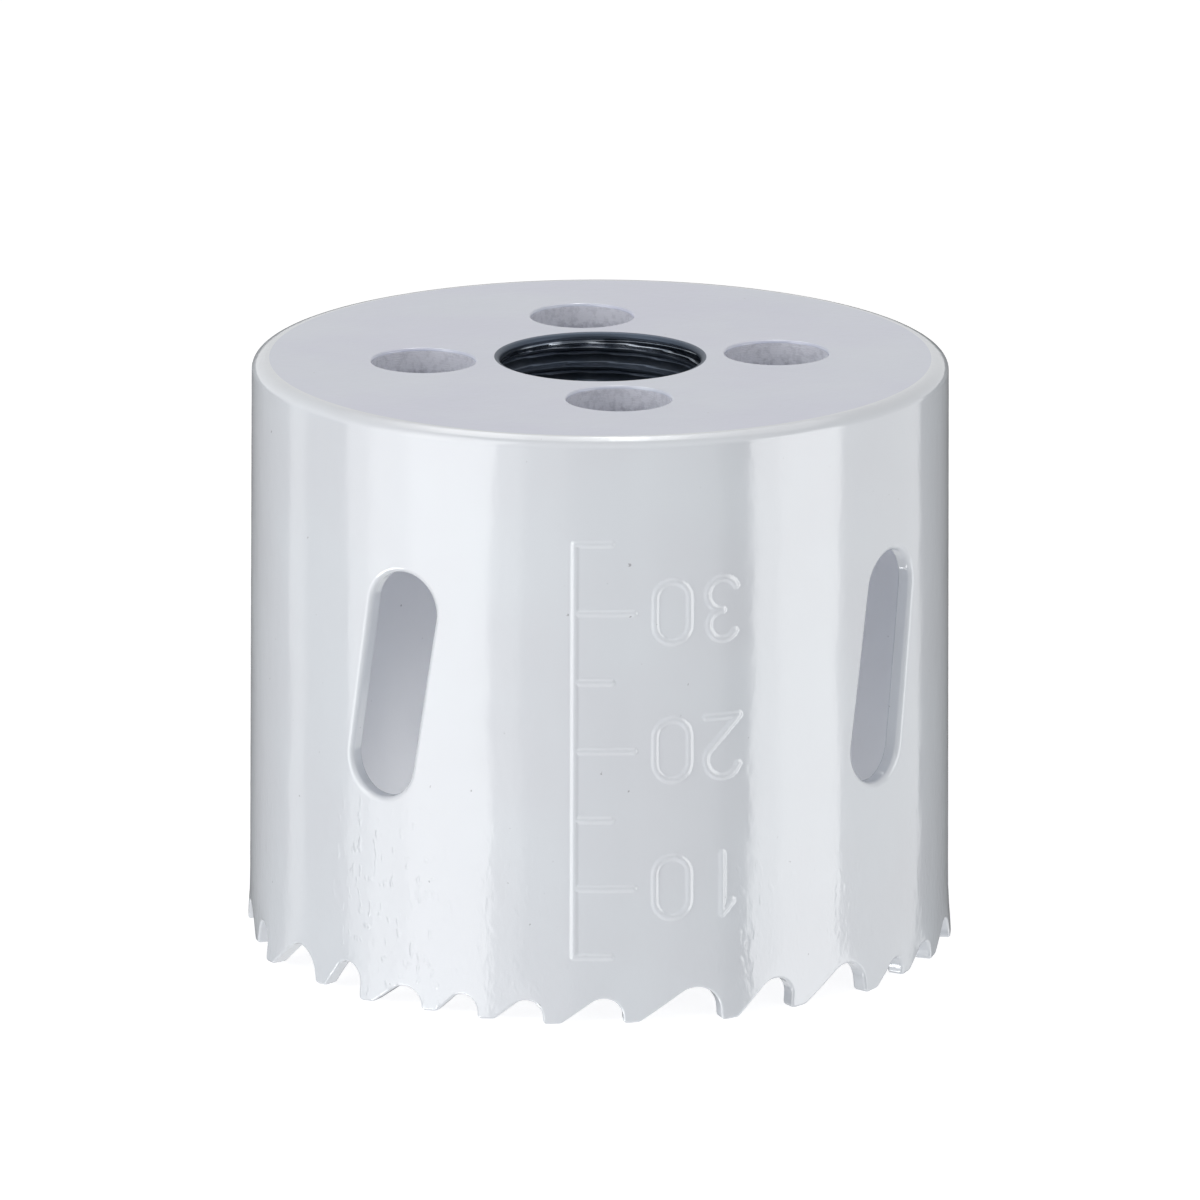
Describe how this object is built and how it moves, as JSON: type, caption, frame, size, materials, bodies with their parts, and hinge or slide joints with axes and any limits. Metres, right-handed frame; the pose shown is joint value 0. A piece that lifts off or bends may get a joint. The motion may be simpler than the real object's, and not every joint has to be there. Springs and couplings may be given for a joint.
{
  "type": "hole saw",
  "caption": "Bi-metal hole saw: a white painted steel cup with variable pitch set teeth, slanted slots and a thick back plate with a threaded bore and drive pin holes.",
  "frame": {"origin": "on the saw's axis, in the plane of the tooth points on which the saw stands", "axes": "+Z along the axis from the teeth up to the back plate, +X through the middle of one slot"},
  "size_m": [0.0509, 0.0509, 0.0425],
  "materials": {
    "wall_paint": "glossy white paint with a fine orange peel",
    "plate_paint": "white paint over machined steel, bare in the threaded bore",
    "tooth_paint": "white paint over high speed steel"
  },
  "bodies": {
    "root": {"cup_wall": "wall_paint", "back_plate": "plate_paint", "tooth_tips": "tooth_paint"}
  },
  "joints": []
}
